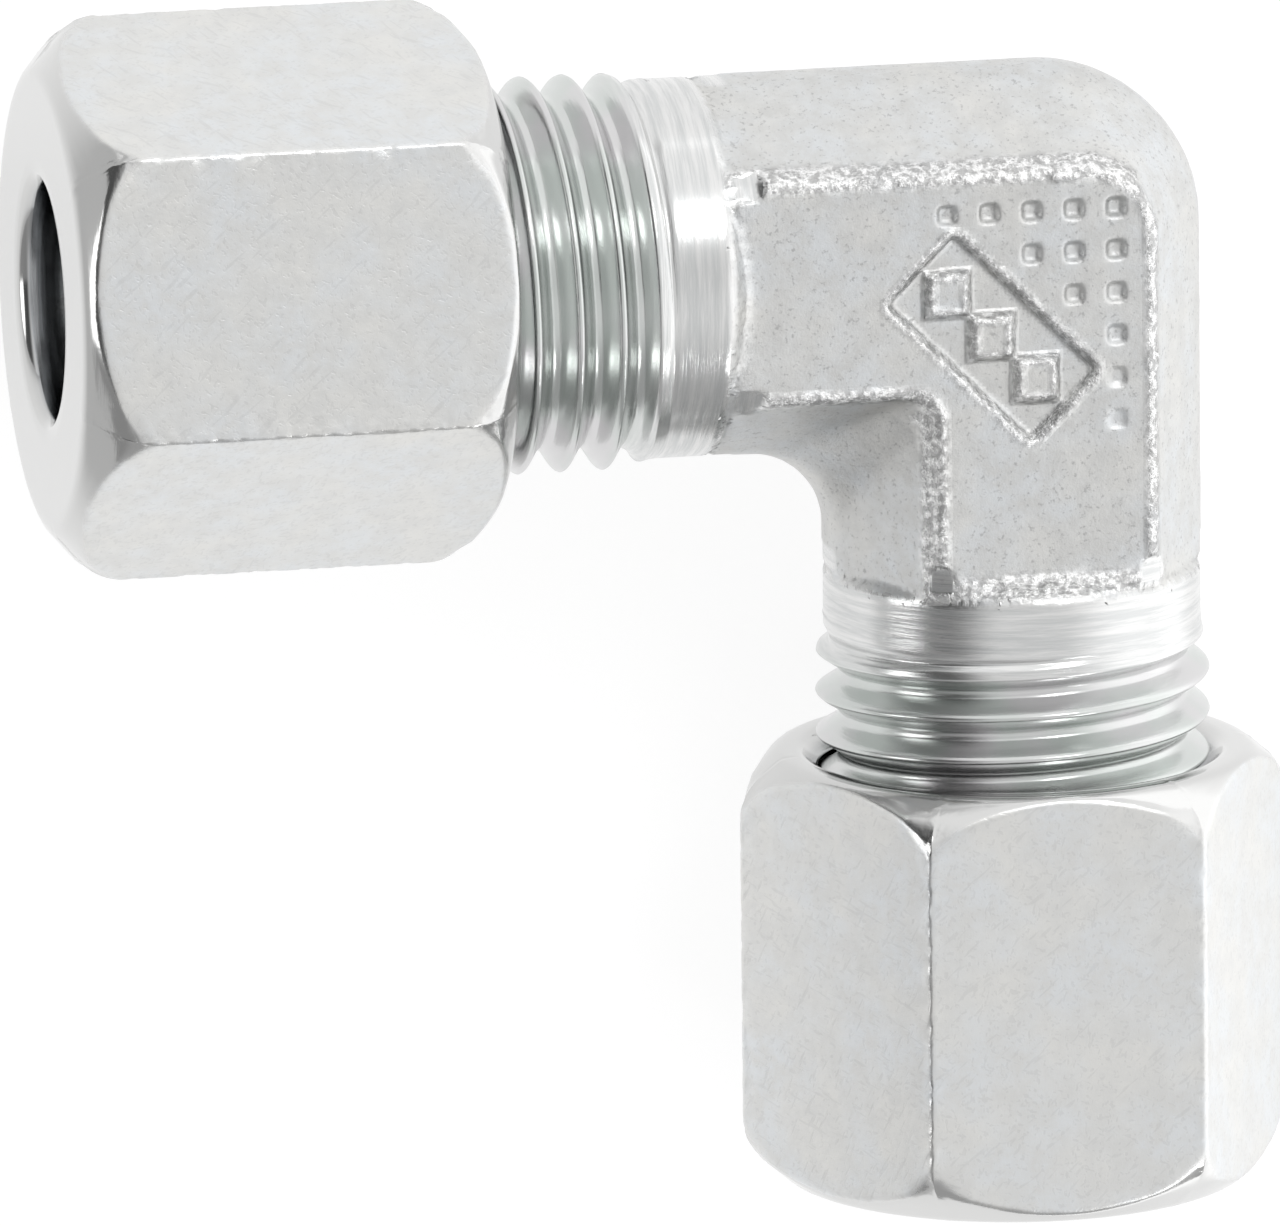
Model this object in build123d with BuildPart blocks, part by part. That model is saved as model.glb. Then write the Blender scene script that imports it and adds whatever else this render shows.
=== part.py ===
from build123d import *
import os
from math import radians, tan

# A 90 degree cutting-ring elbow for 8 mm tube, light series, in millimetres.
# The two tube axes cross at the origin. The inlet arm runs along -X and the outlet arm along -Y,
# so the fitting lies on its side with +Z up. Every piece is drawn on the inlet arm, where a
# distance along the arm is measured from the origin, and a quarter turn about Z puts it on the outlet.

# Angles about X, Y and Z that carry the inlet arm onto the outlet arm.
OUTLET_TURN = (0, 0, 90)
# Smallest length that counts as a gap.
TOLERANCE = 0.01
INLET_AXIS = Axis((0, 0, 0), (-1, 0, 0))
# Local X of this plane runs out along the inlet arm and local Y is the radius.
ARM_PROFILE = Plane(origin=(0, 0, 0), x_dir=(-1, 0, 0), z_dir=(0, 1, 0))

# Thread M14 x 1.5, right hand. Pitch-line widths leave 0.15 mm beside each flank.
PITCH = 1.5
PITCH_R = 6.513
FLANK = tan(radians(30))
MALE_CREST_R = 6.93
MALE_ROOT_R = 6.08
MALE_WIDTH = 0.65
FEMALE_CREST_R = 6.25
FEMALE_ROOT_R = 7.08
FEMALE_WIDTH = 0.95
# Distance from the origin at which a ridge passes the lowest line of the arm.
RIDGE_PHASE = 0.95
# How far a helical solid reaches past the surface it joins, and past the end of its thread.
RIDGE_SINK = 0.15
GROOVE_OVERLAP = 0.2
GROOVE_OVERRUN = 0.6

# Forging: an octagon-like section with wide front and back flats and a narrow outer flat.
FLAT_HEIGHT = 5.75
FLAT_HALF = 3.85
RIM_HEIGHT = 1.0
RIM_HALF = 6.7
RIM_OUTER_R = 5.8
RIM_INNER_R = 3.0
FLAT_OUTER_R = 2.4
FLAT_INNER_R = 0.9
FLAT_EDGE_R = 0.3
FORGING_END = 11.0
TURNED_FROM = 9.9
TURNED_TAPER = 0.3

# Turned arm. Its solid starts inside the forging, and the envelope trims the thread's two ends.
ARM_ROOT = 3.0
SHANK_R = 6.6
SHANK_END = 13.2
RUNOUT_END = 14.3
RAMP_R = 5.5
RAMP_START = 10.4
RAMP_END = 11.2
BODY_END = 21.0
LEAD_R = 6.12
ENVELOPE_R = 7.0
RIDGE_FULL = 14.7

# Bore, tube stop and 24 degree cone
FLOW_R = 3.0
FLOW_OVERRUN = 1.0
DRILL_TIP = 1.8
TUBE_STOP = 14.0
SOCKET_R = 4.1
CONE_MOUTH_R = 5.05
CONE_TAPER = tan(radians(12))
CONE_DEPTH = (CONE_MOUTH_R - SOCKET_R) / CONE_TAPER
BORE_OVERRUN = 1.0

# Union nut, 17 mm across flats
NUT_FLATS = 17.0
NUT_HEIGHT = 15.3
NUT_MOUTH_R = 7.45
NUT_THREAD_LENGTH = 8.8
NUT_RELIEF_R = 7.15
NUT_RELIEF_END = 10.1
NUT_CONE_START = 10.4
NUT_BORE_R = 4.1
NUT_BORE_CHAMFER = 0.3
HEX_FACE_R = 8.0
HEX_MOUTH_FACE_R = 8.3
HEX_CHAMFER_SLOPE = 0.85
HEX_CLEAR_R = 11.0
# Where each nut starts from the origin, and how far one corner is turned from straight up.
INLET_NUT_START = 19.05
INLET_NUT_CORNER = 40.5
OUTLET_NUT_START = 17.7
OUTLET_NUT_CORNER = 30.0

# Cutting ring
RING_LENGTH = 9.5
RING_FROM_NUT = 2.3
RING_BORE_R = 4.08
RING_NOSE_R = 4.5
RING_WAIST_R = 4.95
RING_COLLAR_R = 5.9
RING_TAIL_R = 4.75
RING_NOSE_LENGTH = 2.4
RING_NOSE_CHAMFER = 0.1
RING_NOSE_LEAD = 0.3
RING_COLLAR_START = 5.4
RING_SHOULDER = 0.5

# Sunk panel and dimples on the front flat
PANEL_CENTRE = -1.9
PANEL_LENGTH = 7.2
PANEL_WIDTH = 3.4
PANEL_CORNER_R = 0.3
PANEL_DEPTH = 0.25
LOZENGE_SIZE = 1.5
LOZENGE_STEP = 2.2
DIMPLE_SIZE = 0.75
DIMPLE_STEP = 1.5
DIMPLE_DEPTH = 0.2
DIMPLE_CORNER = 2.5
DIMPLE_COLUMNS = 5
DIMPLE_ROWS = 6
MARK_CLEARANCE = 1.0


def forging_outline(height, half_width, outer_radius, inner_radius):
    """L-shaped outline of the forging at one height."""
    with BuildSketch(Plane.XY.offset(height)) as outline:
        with BuildLine():
            Polyline(
                (-FORGING_END, half_width),
                (half_width, half_width),
                (half_width, -FORGING_END),
                (-half_width, -FORGING_END),
                (-half_width, -half_width),
                (-FORGING_END, -half_width),
                close=True,
            )
        make_face()
        outer_corner = outline.vertices().sort_by_distance((half_width, half_width, height))[0]
        fillet(outer_corner, outer_radius)
        inner_corner = outline.vertices().sort_by_distance((-half_width, -half_width, height))[0]
        fillet(inner_corner, inner_radius)
    return outline.sketch


def forging():
    """Closed forging without its arms: a rim slab and a tapered half on each side of it."""
    with BuildPart() as block:
        rim = forging_outline(-RIM_HEIGHT, RIM_HALF, RIM_OUTER_R, RIM_INNER_R)
        extrude(rim, amount=2 * RIM_HEIGHT)
        upper_rim = forging_outline(RIM_HEIGHT, RIM_HALF, RIM_OUTER_R, RIM_INNER_R)
        upper_flat = forging_outline(FLAT_HEIGHT, FLAT_HALF, FLAT_OUTER_R, FLAT_INNER_R)
        loft([upper_rim, upper_flat], ruled=True)
        mirror(about=Plane.XY)
        flats = block.faces().group_by(Axis.Z)
        flat_edges = flats[0].edges() + flats[-1].edges()
        long_edges = [edge for edge in flat_edges if not lies_on_arm_end(edge)]
        fillet(long_edges, FLAT_EDGE_R)
    return block.part


def lies_on_arm_end(edge):
    """True for an edge in the end plane of either arm."""
    middle = edge.center()
    return min(middle.X, middle.Y) < TOLERANCE - FORGING_END


def revolve_profile(*points, mode=Mode.ADD):
    """Turn a closed profile of (distance along the arm, radius) points about the inlet arm."""
    with BuildSketch(ARM_PROFILE) as profile:
        with BuildLine():
            Polyline(*points, close=True)
        make_face()
    revolve(profile.sketch, axis=INLET_AXIS, mode=mode)


def ridge_before(distance):
    """Last place at or before a distance along the arm where a ridge passes the lowest line."""
    return RIDGE_PHASE + (distance - RIDGE_PHASE) // PITCH * PITCH


def thread_sweep(start, end, inner_radius, outer_radius, pitch_width):
    """Helical trapezoid along the inlet arm, whose middle goes from start to end on the lowest line."""
    inner_half = pitch_width / 2 + (PITCH_R - inner_radius) * FLANK
    outer_half = pitch_width / 2 + (PITCH_R - outer_radius) * FLANK
    depth = outer_radius - inner_radius
    lowest = (-start, 0, -inner_radius)
    with BuildPart() as thread:
        with BuildLine() as path:
            Helix(PITCH, end - start, inner_radius, center=(-start, 0, 0), direction=(-1, 0, 0))
        with BuildSketch(Plane(origin=lowest, x_dir=(0, 0, -1), z_dir=(0, -1, 0))):
            with BuildLine():
                Polyline(
                    (0, -inner_half),
                    (depth, -outer_half),
                    (depth, outer_half),
                    (0, inner_half),
                    close=True,
                )
            make_face()
        sweep(path=path.wires()[0], is_frenet=True)
    return thread.part


def arm_bore():
    """Everything that the drills and reamers take out of the inlet arm."""
    with BuildPart() as bore:
        revolve_profile(
            (-FLOW_OVERRUN - DRILL_TIP, 0),
            (-FLOW_OVERRUN, FLOW_R),
            (TUBE_STOP, FLOW_R),
            (TUBE_STOP, SOCKET_R),
            (BODY_END - CONE_DEPTH, SOCKET_R),
            (BODY_END, CONE_MOUTH_R),
            (BODY_END + BORE_OVERRUN, CONE_MOUTH_R + BORE_OVERRUN * CONE_TAPER),
            (BODY_END + BORE_OVERRUN, 0),
        )
    return bore.part


def turned_arm():
    """Turned arm outside the forging: ramp, plain shank, run-out cone, thread core and thread."""
    sunk_radius = MALE_ROOT_R - RIDGE_SINK
    start = ridge_before(SHANK_END)
    ridge = thread_sweep(start, BODY_END + PITCH, sunk_radius, MALE_CREST_R, MALE_WIDTH)
    with BuildPart() as arm:
        revolve_profile(
            (ARM_ROOT, 0),
            (ARM_ROOT, RAMP_R),
            (RAMP_START, RAMP_R),
            (RAMP_END, SHANK_R),
            (SHANK_END, SHANK_R),
            (RUNOUT_END, MALE_ROOT_R),
            (BODY_END, MALE_ROOT_R),
            (BODY_END, 0),
        )
        add(ridge)
        revolve_profile(
            (0, 0),
            (0, ENVELOPE_R),
            (SHANK_END, SHANK_R + TOLERANCE),
            (RIDGE_FULL, ENVELOPE_R),
            (BODY_END - (ENVELOPE_R - LEAD_R), ENVELOPE_R),
            (BODY_END, LEAD_R),
            (BODY_END, 0),
            mode=Mode.INTERSECT,
        )
    return arm.part


def turning_cut():
    """Ring that the lathe takes off the forging's corners where the shank begins."""
    with BuildPart() as ring:
        revolve_profile(
            (TURNED_FROM, SHANK_R),
            (TURNED_FROM + TURNED_TAPER, 2 * SHANK_R),
            (BODY_END, 2 * SHANK_R),
            (BODY_END, SHANK_R),
        )
    return ring.part


def front_marks():
    """Sunk panel with three raised lozenges, and dimples along the outer corner of the front flat."""
    with BuildPart() as marks:
        with BuildSketch(Plane.XY.offset(FLAT_HEIGHT - PANEL_DEPTH)):
            with Locations((PANEL_CENTRE, PANEL_CENTRE)):
                with Locations(Location((0, 0, 0), (0, 0, -45))):
                    RectangleRounded(PANEL_LENGTH, PANEL_WIDTH, PANEL_CORNER_R)
                    with GridLocations(LOZENGE_STEP, 1, 3, 1):
                        Rectangle(LOZENGE_SIZE, LOZENGE_SIZE, rotation=45, mode=Mode.SUBTRACT)
        extrude(amount=MARK_CLEARANCE)
        with BuildSketch(Plane.XY.offset(FLAT_HEIGHT - DIMPLE_DEPTH)):
            for column in range(DIMPLE_COLUMNS):
                for row in range(DIMPLE_ROWS):
                    if dimple_is_clear(column, row):
                        centre = (DIMPLE_CORNER - column * DIMPLE_STEP, DIMPLE_CORNER - row * DIMPLE_STEP)
                        with Locations(centre):
                            Rectangle(DIMPLE_SIZE, DIMPLE_SIZE)
        extrude(amount=MARK_CLEARANCE)
    return marks.part


def dimple_is_clear(column, row):
    """The dimples fill the outer corner as far as the sunk panel allows."""
    return column + row < 4 or min(column, row) == 0


def elbow():
    """The whole elbow body in one piece, both arms alike."""
    block = forging()
    marks = front_marks()
    cut = turning_cut()
    arm = turned_arm()
    bore = arm_bore()
    with BuildPart() as body:
        add(block)
        add(marks, mode=Mode.SUBTRACT)
        for feature, mode in ((cut, Mode.SUBTRACT), (arm, Mode.ADD), (bore, Mode.SUBTRACT)):
            add(feature, mode=mode)
            add(feature, rotation=OUTLET_TURN, mode=mode)
    return body.part


def nut_bore(start):
    """Everything that is drilled, turned and tapped out of a nut whose open end is at start."""
    end = start + NUT_HEIGHT
    cone_end = start + NUT_CONE_START + FEMALE_CREST_R - NUT_BORE_R
    groove_start = ridge_before(start) - PITCH
    groove_end = start + NUT_THREAD_LENGTH + GROOVE_OVERRUN
    inner_radius = FEMALE_CREST_R - GROOVE_OVERLAP
    groove = thread_sweep(groove_start, groove_end, inner_radius, FEMALE_ROOT_R, FEMALE_WIDTH)
    with BuildPart() as bore:
        revolve_profile(
            (groove_start - PITCH, 0),
            (groove_start - PITCH, FEMALE_CREST_R),
            (start + NUT_RELIEF_END, FEMALE_CREST_R),
            (start + NUT_RELIEF_END, 0),
        )
        add(groove)
        revolve_profile(
            (groove_start - PITCH, 0),
            (groove_start - PITCH, NUT_MOUTH_R),
            (start, NUT_MOUTH_R),
            (start + NUT_MOUTH_R - FEMALE_CREST_R, FEMALE_CREST_R),
            (start + NUT_THREAD_LENGTH, FEMALE_CREST_R),
            (start + NUT_THREAD_LENGTH, NUT_RELIEF_R),
            (start + NUT_RELIEF_END, NUT_RELIEF_R),
            (start + NUT_RELIEF_END, FEMALE_CREST_R),
            (start + NUT_CONE_START, FEMALE_CREST_R),
            (cone_end, NUT_BORE_R),
            (end - NUT_BORE_CHAMFER, NUT_BORE_R),
            (end, NUT_BORE_R + NUT_BORE_CHAMFER),
            (end + BORE_OVERRUN, NUT_BORE_R + NUT_BORE_CHAMFER),
            (end + BORE_OVERRUN, 0),
        )
    return bore.part


def union_nut(start, corner_angle):
    """Hexagon nut on the inlet arm, its open end at start and one corner turned from straight up."""
    end = start + NUT_HEIGHT
    bore = nut_bore(start)
    with BuildPart() as nut:
        with BuildSketch(Plane(origin=(-start, 0, 0), x_dir=(0, 0, 1), z_dir=(-1, 0, 0))):
            RegularPolygon(NUT_FLATS / 2, 6, major_radius=False, rotation=corner_angle)
        extrude(amount=NUT_HEIGHT)
        revolve_profile(
            (start, 0),
            (start, HEX_MOUTH_FACE_R),
            (start + (HEX_CLEAR_R - HEX_MOUTH_FACE_R) * HEX_CHAMFER_SLOPE, HEX_CLEAR_R),
            (end - (HEX_CLEAR_R - HEX_FACE_R) * HEX_CHAMFER_SLOPE, HEX_CLEAR_R),
            (end, HEX_FACE_R),
            (end, 0),
            mode=Mode.INTERSECT,
        )
        add(bore, mode=Mode.SUBTRACT)
    return nut.part


def cutting_ring(nut_start):
    """Cutting ring resting loose inside a nut: nose, thin waist, collar and 45 degree tail."""
    start = nut_start + RING_FROM_NUT
    end = start + RING_LENGTH
    with BuildPart() as ring:
        revolve_profile(
            (start, RING_BORE_R),
            (start, RING_NOSE_R - RING_NOSE_CHAMFER),
            (start + RING_NOSE_LEAD, RING_NOSE_R),
            (start + RING_NOSE_LENGTH, RING_WAIST_R),
            (start + RING_COLLAR_START, RING_WAIST_R),
            (start + RING_COLLAR_START + RING_SHOULDER, RING_COLLAR_R),
            (end - (RING_COLLAR_R - RING_TAIL_R), RING_COLLAR_R),
            (end, RING_TAIL_R),
            (end, RING_BORE_R),
        )
    return ring.part


os.makedirs("parts", exist_ok=True)

elbow_piece = elbow()
with BuildPart() as elbow_body:
    add(elbow_piece)
elbow_body.part.label = "elbow_body"
export_step(elbow_body.part, "parts/elbow_body.step")

inlet_nut_piece = union_nut(INLET_NUT_START, INLET_NUT_CORNER)
with BuildPart() as inlet_nut:
    add(inlet_nut_piece)
inlet_nut.part.label = "inlet_nut"
export_step(inlet_nut.part, "parts/inlet_nut.step")

inlet_ring_piece = cutting_ring(INLET_NUT_START)
with BuildPart() as inlet_ring:
    add(inlet_ring_piece)
inlet_ring.part.label = "inlet_ring"
export_step(inlet_ring.part, "parts/inlet_ring.step")

outlet_nut_piece = union_nut(OUTLET_NUT_START, OUTLET_NUT_CORNER)
with BuildPart() as outlet_nut:
    add(outlet_nut_piece, rotation=OUTLET_TURN)
outlet_nut.part.label = "outlet_nut"
export_step(outlet_nut.part, "parts/outlet_nut.step")

outlet_ring_piece = cutting_ring(OUTLET_NUT_START)
with BuildPart() as outlet_ring:
    add(outlet_ring_piece, rotation=OUTLET_TURN)
outlet_ring.part.label = "outlet_ring"
export_step(outlet_ring.part, "parts/outlet_ring.step")
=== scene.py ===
import math

import bmesh
import bpy
import numpy as np
from mathutils import Matrix, Vector


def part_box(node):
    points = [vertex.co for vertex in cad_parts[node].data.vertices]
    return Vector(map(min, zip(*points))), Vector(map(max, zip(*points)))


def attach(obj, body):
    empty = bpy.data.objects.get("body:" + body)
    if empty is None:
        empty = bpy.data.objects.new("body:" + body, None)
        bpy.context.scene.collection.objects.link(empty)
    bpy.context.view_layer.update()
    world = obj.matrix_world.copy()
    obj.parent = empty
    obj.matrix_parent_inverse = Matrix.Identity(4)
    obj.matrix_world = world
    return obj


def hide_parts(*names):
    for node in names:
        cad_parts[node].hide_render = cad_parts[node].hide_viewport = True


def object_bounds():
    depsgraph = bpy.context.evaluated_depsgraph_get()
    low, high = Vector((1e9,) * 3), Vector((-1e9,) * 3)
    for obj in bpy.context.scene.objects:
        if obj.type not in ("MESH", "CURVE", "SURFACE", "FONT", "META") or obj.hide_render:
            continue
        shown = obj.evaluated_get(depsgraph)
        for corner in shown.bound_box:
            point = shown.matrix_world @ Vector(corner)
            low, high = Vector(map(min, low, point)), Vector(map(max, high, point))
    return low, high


# Looks of a 90 degree cutting-ring elbow lying on its side. The inlet arm runs along -X and the
# outlet arm along -Y, and the tube axes cross at the origin. Shapes are worked out in millimetres.
# A point on either arm is (distance along the arm, u, v), with v up and u a quarter turn from it.

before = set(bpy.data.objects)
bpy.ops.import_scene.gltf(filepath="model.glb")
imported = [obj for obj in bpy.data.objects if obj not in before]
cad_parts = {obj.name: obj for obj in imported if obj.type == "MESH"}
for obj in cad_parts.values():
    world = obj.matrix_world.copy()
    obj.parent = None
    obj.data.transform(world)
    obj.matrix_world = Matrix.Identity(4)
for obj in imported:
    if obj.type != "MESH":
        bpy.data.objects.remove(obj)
cad_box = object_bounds()

MM = 0.001

# Thread M14 x 1.5, right hand. A ridge passes the top of an arm at CREST_AT, plus whole pitches.
PITCH = 1.5
CREST_AT = 0.2
PITCH_R = 6.513
FLANK = math.tan(math.radians(30))
MALE_CREST_R = 6.93
MALE_ROOT_R = 6.08
MALE_WIDTH = 0.65
FEMALE_CREST_R = 6.25
FEMALE_ROOT_R = 7.08
FEMALE_WIDTH = 0.95
CREST_BLEND = 0.15
ROOT_BLEND = 0.05
ROWS_PER_PITCH = 20

# Forging: front and back flats, sloping sides and a narrow rim
FLAT_HEIGHT = 5.75
FLAT_HALF = 3.85
RIM_HEIGHT = 1.0
RIM_HALF = 6.7
RIM_OUTER_R = 5.8
RIM_INNER_R = 3.0
FLAT_OUTER_R = 2.4
FLAT_INNER_R = 0.9
SLOPE_BLEND = 0.45
FLAT_EDGE_R = 0.16
FORGING_END = 11.0
END_EDGE_R = 0.12
TURNED_FROM = 9.9
TOOL_NOSE_R = 0.4

# Forged skin: height and width of the fine grain and of the crinkles along trimmed edges
GRAIN_HEIGHT = 0.009
GRAIN_SIZE = 0.5
CRINKLE_HEIGHT = 0.085
CRINKLE_SIZE = 0.45
GRAIN_SEED = 11
CRINKLE_SEED = 23
BAND_SEED = 5

# Turned arm, bore and cone
SHANK_R = 6.6
SHANK_END = 13.2
RUNOUT_END = 14.3
RAMP_R = 5.5
RAMP_START = 10.4
RAMP_END = 11.2
RAMP_EDGE_R = 0.12
RAMP_FILLET_R = 0.1
BODY_END = 21.0
LEAD_R = 6.12
ENVELOPE_R = 7.0
RIDGE_FULL = 14.7
FLOW_R = 3.0
FLOW_OVERRUN = 1.0
DRILL_SLOPE = math.tan(math.radians(59))
TUBE_STOP = 14.0
SOCKET_R = 4.1
CONE_MOUTH_R = 5.05
CONE_TAPER = math.tan(math.radians(12))

# Union nut, 17 mm across flats
NUT_FLATS = 17.0
NUT_MOUTH_R = 7.45
NUT_THREAD_LENGTH = 8.8
NUT_RELIEF_R = 7.15
NUT_RELIEF_END = 10.1
NUT_CONE_START = 10.4
NUT_BORE_R = 4.1
NUT_BORE_CHAMFER = 0.3
HEX_FACE_R = 8.0
HEX_MOUTH_FACE_R = 8.3
HEX_CHAMFER_SLOPE = 0.85
HEX_EDGE_R = 0.12
FACE_EDGE_R = 0.18
NICK_DEPTH = 0.035
NICK_RISE = 0.01
NICK_SIZE = 0.3
NICK_SEED = 31
INLET_NUT_CORNER = 40.5
OUTLET_NUT_CORNER = 30.0

# Cutting ring
RING_BORE_R = 4.08
RING_NOSE_R = 4.5
RING_WAIST_R = 4.95
RING_COLLAR_R = 5.9
RING_TAIL_R = 4.75
RING_NOSE_LENGTH = 2.4
RING_COLLAR_START = 5.4

# Marks in the front flat
PANEL_CENTRE = -1.9
PANEL_HALF_LENGTH = 3.6
PANEL_HALF_WIDTH = 1.7
PANEL_CORNER_R = 0.3
PANEL_DEPTH = 0.32
LOZENGE_HALF = 0.75
LOZENGE_STEP = 2.2
DIMPLE_HALF = 0.38
DIMPLE_CORNER_R = 0.24
DIMPLE_STEP = 1.5
DIMPLE_DEPTH = 0.30
DIMPLE_CORNER = 2.5
DIMPLE_COLUMNS = 5
DIMPLE_ROWS = 6

# Meshes: grid spacing on and off the marked flat, where net and arms join, and vertices per turn
FINE = 0.13
COARSE = 0.26
FINE_FLATS = (-5.8, 4.9)
FINE_HEIGHTS = (5.2, 6.0)
JOIN = 11.5
AROUND_ARM = 160
AROUND_RING = 120
NUT_STEP_DEGREES = 2.5
NUT_ROWS = 110

# Bump height of the zinc, in millimetres
ZINC_BUMP = 0.008
RING_BUMP = 0.006

# Floor, in metres: it glows with painted light, more to the right and less far out to the left
FLOOR_SIZE = 6.0
FLOOR_GLOW = 0.84
RIGHT_GLOW = 1.3
LEFT_GLOW = 0.4

# Soft lights: distance in metres and brightness
LIGHT_DISTANCE = 0.8
LIGHT_RADIANCE = 5.0

# Camera angles, and its sizes in millimetres: it looks at a place left of and below the origin
AZIMUTH = math.radians(12.0)
ELEVATION = math.radians(12.5)
ROLL = math.radians(-0.6)
DISTANCE = 900.0
PIXELS_PER_MM = 28.7
IMAGE_WIDTH = 1280
SENSOR = 36.0
AIM_LEFT = 12.86
AIM_DOWN = 12.68


# ---------------------------------------------------------------- noise

def lattice_value(ix, iy, iz, seed):
    """Repeatable number from 0 to 1 for each lattice point."""
    n = (ix * 374761393 + iy * 668265263 + iz * 1440662683 + seed * 1274126177) & 0xFFFFFFFF
    n = ((n ^ (n >> 13)) * 1274126177) & 0xFFFFFFFF
    n = n ^ (n >> 16)
    return (n & 0xFFFFFF) / float(0xFFFFFF)


def value_noise(points, size, seed):
    """Smooth noise from -1 to 1 with features about size millimetres wide."""
    scaled = points / size
    base = np.floor(scaled).astype(np.int64)
    t = scaled - base
    t = t * t * (3 - 2 * t)
    total = np.zeros(len(points))
    for corner in range(8):
        step = np.array([corner & 1, (corner >> 1) & 1, (corner >> 2) & 1])
        weight = np.prod(np.where(step, t, 1 - t), axis=1)
        at = base + step
        total += weight * lattice_value(at[:, 0], at[:, 1], at[:, 2], seed)
    return 2 * total - 1


def rough_noise(points, size, octaves, seed):
    """Noise of several octaves, each half as wide and 0.6 times as strong as the one before."""
    total = np.zeros(len(points))
    for octave in range(octaves):
        total += 0.6 ** octave * value_noise(points, size / 2 ** octave, seed + octave)
    return total


# ---------------------------------------------------------------- distances

def smoothstep(low, high, value):
    """0 at low, 1 at high and an S curve between them."""
    t = np.clip((value - low) / (high - low), 0, 1)
    return t * t * (3 - 2 * t)


def round_union(a, b, radius):
    """Distance to two shapes together, with a fillet of that radius where they meet."""
    u = np.maximum(radius - a, 0)
    v = np.maximum(radius - b, 0)
    return np.maximum(radius, np.minimum(a, b)) - np.hypot(u, v)


def round_cut(a, b, radius):
    """Distance to what two shapes share, with its edge rounded to that radius."""
    u = np.maximum(radius + a, 0)
    v = np.maximum(radius + b, 0)
    return np.minimum(-radius, np.maximum(a, b)) + np.hypot(u, v)


def rectangle_distance(u, v, half_u, half_v):
    """Distance to a rectangle, negative inside."""
    du, dv = np.abs(u) - half_u, np.abs(v) - half_v
    outside = np.hypot(np.maximum(du, 0), np.maximum(dv, 0))
    return outside + np.minimum(np.maximum(du, dv), 0)


def rounded_rectangle(u, v, half_u, half_v, corner_radius):
    """Distance to a rectangle with rounded corners."""
    inner = rectangle_distance(u, v, half_u - corner_radius, half_v - corner_radius)
    return inner - corner_radius


def cone_distance(radius, along, start_radius, start, end_radius, end):
    """Distance outwards from the cone through two (along, radius) places."""
    run, rise = end - start, end_radius - start_radius
    return ((radius - start_radius) * run - (along - start) * rise) / math.hypot(run, rise)


def forging_side(x, y, height):
    """Distance to the forging's outline at that height above or below the middle."""
    above = height - RIM_HEIGHT
    lean = (RIM_HALF - FLAT_HALF) / (FLAT_HEIGHT - RIM_HEIGHT)
    inset = lean * (above + np.sqrt(above * above + SLOPE_BLEND ** 2)) / 2
    share = np.clip(inset / (RIM_HALF - FLAT_HALF), 0, 1)
    half = RIM_HALF - inset
    inner = round_union(-half - y, -half - x, RIM_INNER_R + (FLAT_INNER_R - RIM_INNER_R) * share)
    outer_radius = RIM_OUTER_R + (FLAT_OUTER_R - RIM_OUTER_R) * share
    qx, qy = x - half + outer_radius, y - half + outer_radius
    outer = np.hypot(np.maximum(qx, 0), np.maximum(qy, 0)) - outer_radius
    outer += np.minimum(np.maximum(qx, qy), 0)
    tilt = 1 / np.sqrt(1 + lean * lean * smoothstep(-SLOPE_BLEND, SLOPE_BLEND, above))
    return np.maximum(inner, outer) * tilt


def panel_distance(x, y):
    """Distance to the sunk part of the panel, which leaves out its three raised lozenges."""
    along = (x - y) / math.sqrt(2)
    across = (x + y - 2 * PANEL_CENTRE) / math.sqrt(2)
    panel = rounded_rectangle(along, across, PANEL_HALF_LENGTH, PANEL_HALF_WIDTH, PANEL_CORNER_R)
    for place in (-1, 0, 1):
        lozenge = (np.abs(along - place * LOZENGE_STEP) + np.abs(across)) / math.sqrt(2)
        panel = np.maximum(panel, LOZENGE_HALF - lozenge)
    return panel


def mark_depth(x, y):
    """How far the front flat is sunk: the panel, and dimples that fade down and to the left."""
    depth = PANEL_DEPTH * smoothstep(0.17, -0.17, panel_distance(x, y))
    for column in range(DIMPLE_COLUMNS):
        for row in range(DIMPLE_ROWS):
            if column + row < 4 or min(column, row) == 0:
                u = x - DIMPLE_CORNER + column * DIMPLE_STEP
                v = y - DIMPLE_CORNER + row * DIMPLE_STEP
                pit = rounded_rectangle(u, v, DIMPLE_HALF, DIMPLE_HALF, DIMPLE_CORNER_R)
                fade = 1 - 0.12 * row - 0.05 * column
                depth = np.maximum(depth, fade * DIMPLE_DEPTH * smoothstep(0.06, -0.22, pit))
    return depth


def forging_distance(x, y, z):
    """Distance to the forging before any machining."""
    height = np.abs(z)
    flat = height - FLAT_HEIGHT + np.where(z > 4, mark_depth(x, y), 0)
    block = round_cut(forging_side(x, y, height), flat, FLAT_EDGE_R)
    return round_cut(block, np.maximum(-x, -y) - FORGING_END, END_EDGE_R)


def edge_band(x, y, z):
    """1 along the trimmed edges of the flats and round the panel, 0 away from them."""
    height = np.abs(z)
    below = FLAT_HEIGHT - height
    wide = np.where(y > x, y, -x) > 0
    band = np.where(wide, smoothstep(1.0, 0.6, below), smoothstep(0.5, 0.1, below))
    band *= smoothstep(0.42, 0.12, np.abs(forging_side(x, y, height)))
    rim = smoothstep(0.34, 0.10, np.abs(panel_distance(x, y) - 0.08)) * (z > 4)
    end = smoothstep(0.55, 0.2, np.abs(np.maximum(-x, -y) - 10.75)) * smoothstep(4.7, 5.3, height)
    end *= np.where(y > x, 0.3, 1)
    return np.maximum(band, np.maximum(0.8 * rim, end))


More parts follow.
